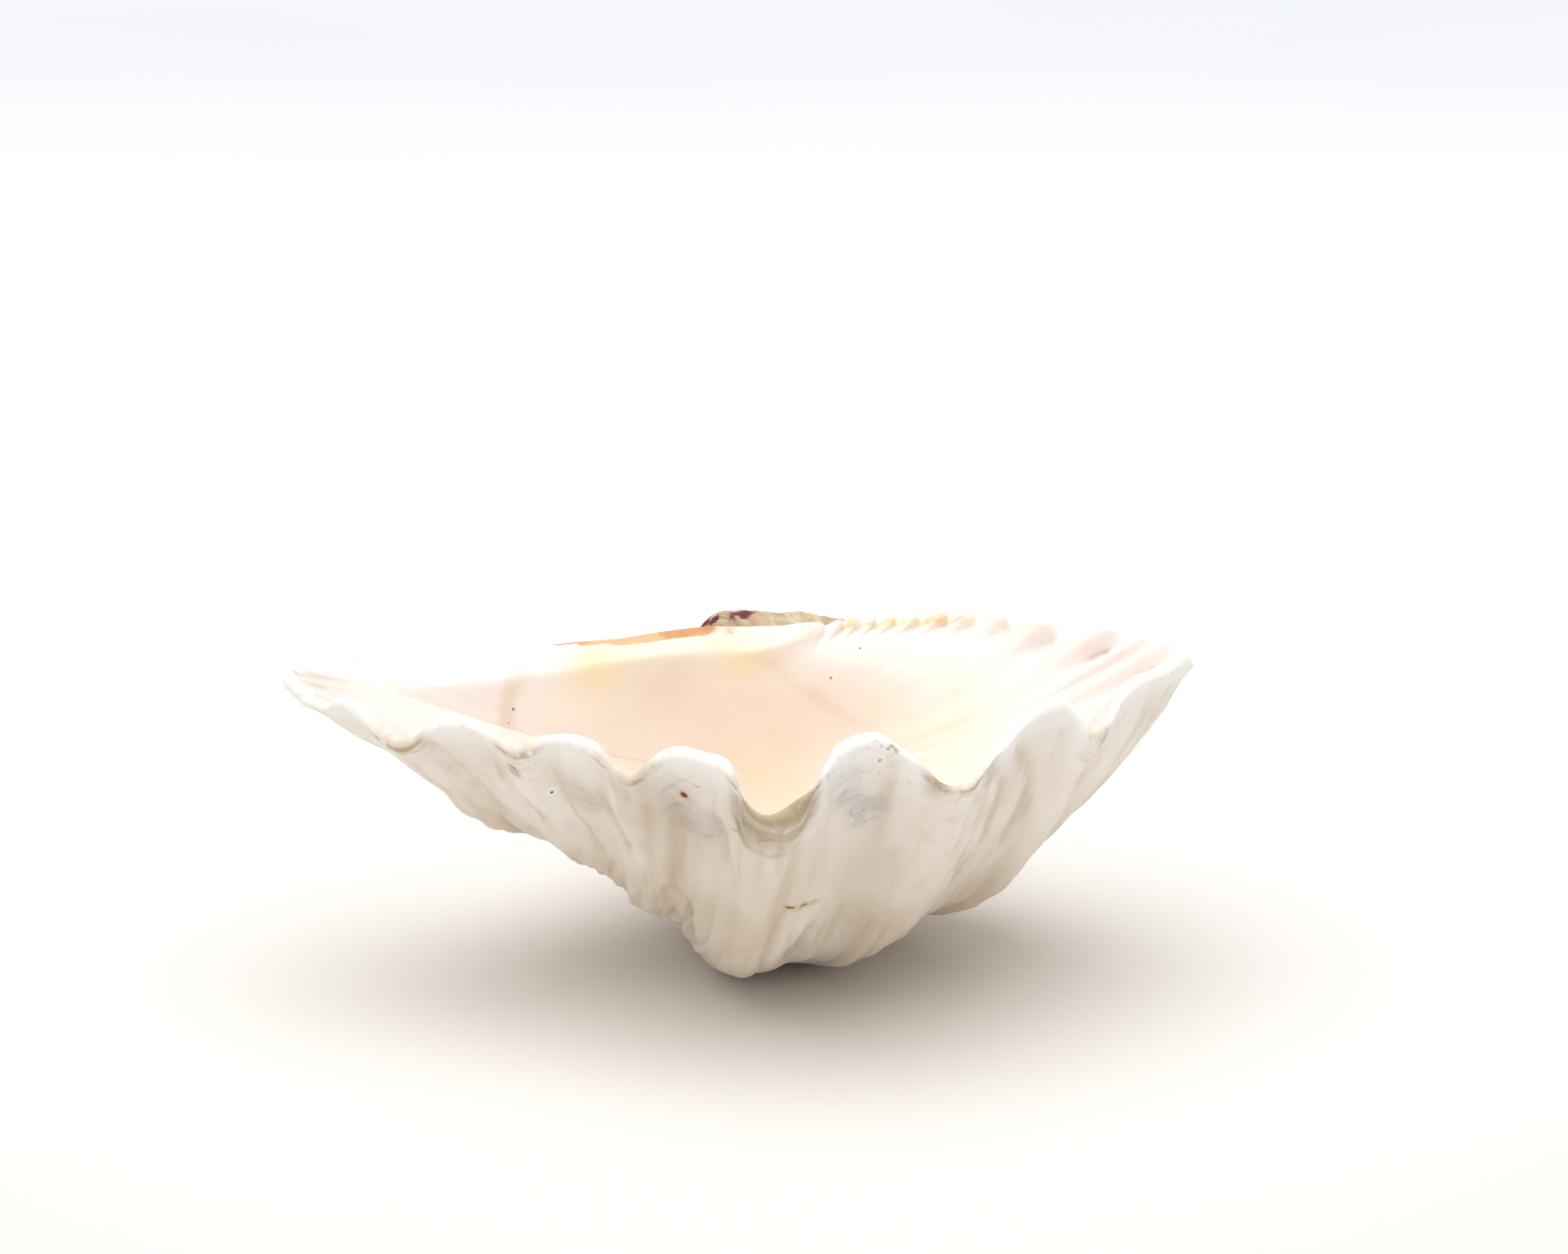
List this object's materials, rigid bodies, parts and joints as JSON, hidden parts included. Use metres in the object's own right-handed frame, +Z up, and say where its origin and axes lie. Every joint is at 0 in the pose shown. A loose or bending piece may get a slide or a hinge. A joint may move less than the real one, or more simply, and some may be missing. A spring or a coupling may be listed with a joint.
{
  "type": "giant clam shell",
  "caption": "One valve of a giant clam: a deep, thick shell bowl with broad radial flutes, a wavy rim, a hinge plate and a curled umbo.",
  "frame": {"origin": "the middle of the valve's box, on the floor it rests on", "axes": "+X to the right along the longest extent, -Y towards the front with the deep notch, +Y to the back with the umbo, +Z up out of the hollow side"},
  "size_m": [0.3014, 0.2294, 0.1138],
  "materials": {
    "shell": "chalky outside, porcelain inside"
  },
  "bodies": {
    "root": {"shell": "shell"}
  },
  "joints": []
}
